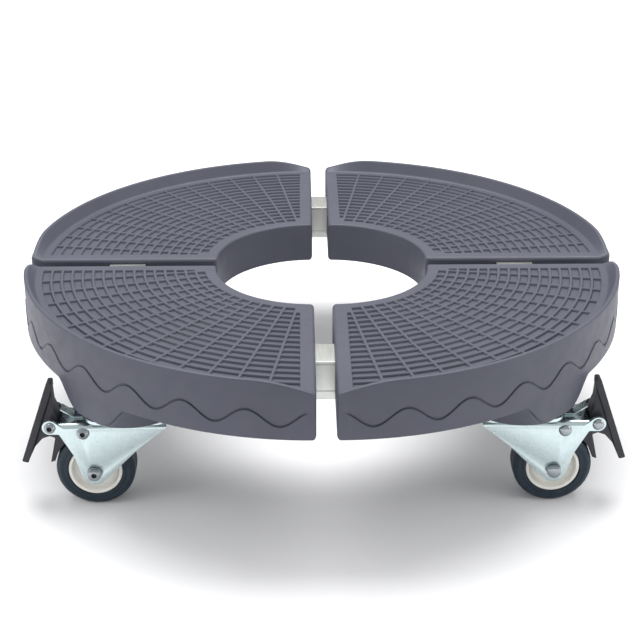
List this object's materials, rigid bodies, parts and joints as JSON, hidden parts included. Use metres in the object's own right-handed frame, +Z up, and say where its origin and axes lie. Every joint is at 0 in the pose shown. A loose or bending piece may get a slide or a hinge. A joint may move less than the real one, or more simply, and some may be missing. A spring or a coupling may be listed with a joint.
{
  "type": "parasol base",
  "caption": "Wheeled parasol base: a quartered plastic ring tray on sliding square tubes, carried by braked swivel casters.",
  "frame": {"origin": "on the floor under the middle of the centre hole, trays closed to their rest gaps", "axes": "+Z up, +X to the right along the front and rear tubes, -Y towards the front edge"},
  "size_m": [0.4016, 0.4, 0.1227],
  "materials": {
    "tray_plastic": "satin moulded",
    "tube_steel": "brushed stainless",
    "zinc_steel": "bright zinc plated pressed sheet",
    "rivet_steel": "zinc plated rivets and bolts",
    "tyre_rubber": "smooth dark blue-grey",
    "hub_plastic": "cream moulded",
    "pedal_plastic": "moulded"
  },
  "bodies": {
    "front_left_quarter": {"tray_front_left": "tray_plastic", "caster_plate_front_left": "zinc_steel", "kingpin_front_left": "zinc_steel", "tube_front": "tube_steel", "tube_screw_front": "rivet_steel", "tube_left": "tube_steel", "tube_screw_left": "rivet_steel"},
    "front_right_quarter": {"tray_front_right": "tray_plastic", "caster_plate_front_right": "zinc_steel", "kingpin_front_right": "zinc_steel", "lock_screw_front": "pedal_plastic", "tube_right": "tube_steel", "tube_screw_right": "rivet_steel"},
    "rear_left_quarter": {"tray_rear_left": "tray_plastic", "caster_plate_rear_left": "zinc_steel", "kingpin_rear_left": "zinc_steel", "lock_screw_left": "pedal_plastic", "tube_rear": "tube_steel", "tube_screw_rear": "rivet_steel"},
    "rear_right_quarter": {"tray_rear_right": "tray_plastic", "caster_plate_rear_right": "zinc_steel", "kingpin_rear_right": "zinc_steel", "lock_screw_right": "pedal_plastic", "lock_screw_rear": "pedal_plastic"},
    "caster_front_left": {"fork_front_left": "zinc_steel", "brake_spring_front_left": "zinc_steel", "axle_bolt_front_left": "rivet_steel", "axle_nut_front_left": "rivet_steel", "pedal_pin_front_left": "rivet_steel", "stop_pin_front_left": "rivet_steel"},
    "wheel_front_left": {"hub_front_left": "hub_plastic", "tyre_front_left": "tyre_rubber"},
    "brake_front_left": {"pedal_front_left": "pedal_plastic"},
    "caster_front_right": {"fork_front_right": "zinc_steel", "brake_spring_front_right": "zinc_steel", "axle_bolt_front_right": "rivet_steel", "axle_nut_front_right": "rivet_steel", "pedal_pin_front_right": "rivet_steel", "stop_pin_front_right": "rivet_steel"},
    "wheel_front_right": {"hub_front_right": "hub_plastic", "tyre_front_right": "tyre_rubber"},
    "brake_front_right": {"pedal_front_right": "pedal_plastic"},
    "caster_rear_left": {"fork_rear_left": "zinc_steel", "brake_spring_rear_left": "zinc_steel", "axle_bolt_rear_left": "rivet_steel", "axle_nut_rear_left": "rivet_steel", "pedal_pin_rear_left": "rivet_steel", "stop_pin_rear_left": "rivet_steel"},
    "wheel_rear_left": {"hub_rear_left": "hub_plastic", "tyre_rear_left": "tyre_rubber"},
    "brake_rear_left": {"pedal_rear_left": "pedal_plastic"},
    "caster_rear_right": {"fork_rear_right": "zinc_steel", "brake_spring_rear_right": "zinc_steel", "axle_bolt_rear_right": "rivet_steel", "axle_nut_rear_right": "rivet_steel", "pedal_pin_rear_right": "rivet_steel", "stop_pin_rear_right": "rivet_steel"},
    "wheel_rear_right": {"hub_rear_right": "hub_plastic", "tyre_rear_right": "tyre_rubber"},
    "brake_rear_right": {"pedal_rear_right": "pedal_plastic"}
  },
  "joints": [
    {"name": "width_slide", "type": "slide", "parent": "front_left_quarter", "child": "front_right_quarter", "axis": [1, 0, 0], "range_m": [-0.008, 0.04]},
    {"name": "depth_slide_left", "type": "slide", "parent": "front_left_quarter", "child": "rear_left_quarter", "axis": [0, 1, 0], "range_m": [-0.007, 0.04]},
    {"name": "depth_slide_right", "type": "slide", "parent": "front_right_quarter", "child": "rear_right_quarter", "axis": [0, 1, 0], "range_m": [-0.007, 0.04]},
    {"name": "swivel_front_left", "type": "hinge", "parent": "front_left_quarter", "child": "caster_front_left", "pos_m": [-0.12045, -0.1196, 0.06], "axis": [0, 0, 1], "continuous": true},
    {"name": "wheel_spin_front_left", "type": "hinge", "parent": "caster_front_left", "child": "wheel_front_left", "pos_m": [-0.14445, -0.1196, 0.025], "axis": [0, 1, 0], "continuous": true},
    {"name": "brake_pedal_front_left", "type": "hinge", "parent": "caster_front_left", "child": "brake_front_left", "pos_m": [-0.17005, -0.1196, 0.0578], "axis": [0, 1, 0], "range_deg": [0, 6]},
    {"name": "swivel_front_right", "type": "hinge", "parent": "front_right_quarter", "child": "caster_front_right", "pos_m": [0.12045, -0.1196, 0.06], "axis": [0, 0, 1], "continuous": true},
    {"name": "wheel_spin_front_right", "type": "hinge", "parent": "caster_front_right", "child": "wheel_front_right", "pos_m": [0.14445, -0.1196, 0.025], "axis": [0, 1, 0], "continuous": true},
    {"name": "brake_pedal_front_right", "type": "hinge", "parent": "caster_front_right", "child": "brake_front_right", "pos_m": [0.17005, -0.1196, 0.0578], "axis": [0, -1, 0], "range_deg": [0, 6]},
    {"name": "swivel_rear_left", "type": "hinge", "parent": "rear_left_quarter", "child": "caster_rear_left", "pos_m": [-0.12045, 0.1196, 0.06], "axis": [0, 0, 1], "continuous": true},
    {"name": "wheel_spin_rear_left", "type": "hinge", "parent": "caster_rear_left", "child": "wheel_rear_left", "pos_m": [-0.14445, 0.1196, 0.025], "axis": [0, 1, 0], "continuous": true},
    {"name": "brake_pedal_rear_left", "type": "hinge", "parent": "caster_rear_left", "child": "brake_rear_left", "pos_m": [-0.17005, 0.1196, 0.0578], "axis": [0, 1, 0], "range_deg": [0, 6]},
    {"name": "swivel_rear_right", "type": "hinge", "parent": "rear_right_quarter", "child": "caster_rear_right", "pos_m": [0.12045, 0.1196, 0.06], "axis": [0, 0, 1], "continuous": true},
    {"name": "wheel_spin_rear_right", "type": "hinge", "parent": "caster_rear_right", "child": "wheel_rear_right", "pos_m": [0.14445, 0.1196, 0.025], "axis": [0, 1, 0], "continuous": true},
    {"name": "brake_pedal_rear_right", "type": "hinge", "parent": "caster_rear_right", "child": "brake_rear_right", "pos_m": [0.17005, 0.1196, 0.0578], "axis": [0, -1, 0], "range_deg": [0, 6]}
  ],
  "couplings": [
    {"joint": "depth_slide_right", "follows": "depth_slide_left", "ratio": 1}
  ]
}
